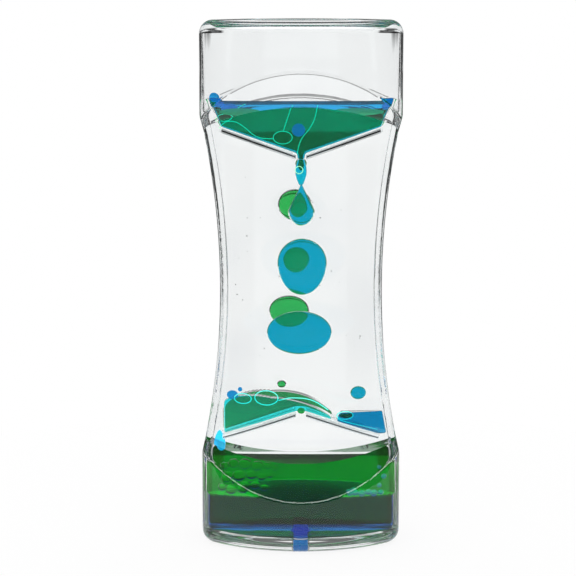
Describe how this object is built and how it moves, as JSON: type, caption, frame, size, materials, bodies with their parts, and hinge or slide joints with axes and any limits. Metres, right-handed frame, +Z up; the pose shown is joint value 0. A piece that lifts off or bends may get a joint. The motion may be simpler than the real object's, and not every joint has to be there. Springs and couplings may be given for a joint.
{
  "type": "liquid motion timer",
  "caption": "Sealed clear hourglass-shaped bottle in which blue and green drops fall through clear oil from a funnel on to a sloping roof, turned over to restart.",
  "frame": {"origin": "centre of the underside of the lower end block, on the surface that the timer stands on", "axes": "+Z up along the timer's length, -Y towards the pictured front with the blue chamber, +X to the right"},
  "size_m": [0.053, 0.0354, 0.139],
  "materials": {
    "clear_plastic": "clear moulded acrylic or styrene, polished",
    "plug_plastic": "blue moulded stopper, smooth",
    "clear_oil": "clear colourless mineral oil",
    "blue_liquid": "clear blue-dyed water",
    "green_liquid": "clear green-dyed water"
  },
  "bodies": {
    "vessel": {"front_shell": "clear_plastic", "rear_shell": "clear_plastic", "divider_plate": "clear_plastic", "front_lower_right_ramp": "clear_plastic", "front_lower_left_ramp": "clear_plastic", "front_upper_right_ramp": "clear_plastic", "front_upper_left_ramp": "clear_plastic", "rear_lower_right_ramp": "clear_plastic", "rear_lower_left_ramp": "clear_plastic", "rear_upper_right_ramp": "clear_plastic", "rear_upper_left_ramp": "clear_plastic", "front_filler_plug": "plug_plastic", "rear_filler_plug": "plug_plastic", "front_oil": "clear_oil", "rear_oil": "clear_oil", "blue_funnel_pool": "blue_liquid", "blue_left_pool": "blue_liquid", "blue_right_pool": "blue_liquid", "blue_base_pool": "blue_liquid", "green_funnel_pool": "green_liquid", "green_pool": "green_liquid", "green_base_pool": "green_liquid", "green_droplet": "green_liquid", "green_bead": "green_liquid"},
    "blue_drop_1": {"blue_drop_1": "blue_liquid"},
    "blue_drop_2": {"blue_drop_2": "blue_liquid"},
    "blue_drop_3": {"blue_drop_3": "blue_liquid"},
    "green_drop_1": {"green_drop_1": "green_liquid"},
    "green_drop_2": {"green_drop_2": "green_liquid"},
    "green_drop_3": {"green_drop_3": "green_liquid"},
    "blue_droplet": {"blue_droplet": "blue_liquid"},
    "blue_slot_drop": {"blue_slot_drop": "blue_liquid"}
  },
  "joints": [
    {"name": "blue_drop_1_fall", "type": "slide", "parent": "vessel", "child": "blue_drop_1", "axis": [0, 0, -1], "range_m": [0, 0.01]},
    {"name": "blue_drop_2_fall", "type": "slide", "parent": "vessel", "child": "blue_drop_2", "axis": [0, 0, -1], "range_m": [0, 0.01]},
    {"name": "blue_drop_3_fall", "type": "slide", "parent": "vessel", "child": "blue_drop_3", "axis": [0, 0, -1], "range_m": [0, 0.01]},
    {"name": "green_drop_1_fall", "type": "slide", "parent": "vessel", "child": "green_drop_1", "axis": [0, 0, -1], "range_m": [-0.003, 0.011]},
    {"name": "green_drop_2_fall", "type": "slide", "parent": "vessel", "child": "green_drop_2", "axis": [0, 0, -1], "range_m": [-0.003, 0.011]},
    {"name": "green_drop_3_fall", "type": "slide", "parent": "vessel", "child": "green_drop_3", "axis": [0, 0, -1], "range_m": [-0.003, 0.011]},
    {"name": "blue_droplet_fall", "type": "slide", "parent": "vessel", "child": "blue_droplet", "axis": [0, 0, -1], "range_m": [-0.058, 0.002]},
    {"name": "blue_slot_drop_fall", "type": "slide", "parent": "vessel", "child": "blue_slot_drop", "axis": [0, 0, -1], "range_m": [0, 0.0075]}
  ],
  "couplings": [
    {"joint": "blue_drop_1_fall", "follows": "blue_drop_3_fall", "ratio": 1},
    {"joint": "blue_drop_2_fall", "follows": "blue_drop_3_fall", "ratio": 1},
    {"joint": "green_drop_1_fall", "follows": "green_drop_3_fall", "ratio": 1},
    {"joint": "green_drop_2_fall", "follows": "green_drop_3_fall", "ratio": 1}
  ]
}
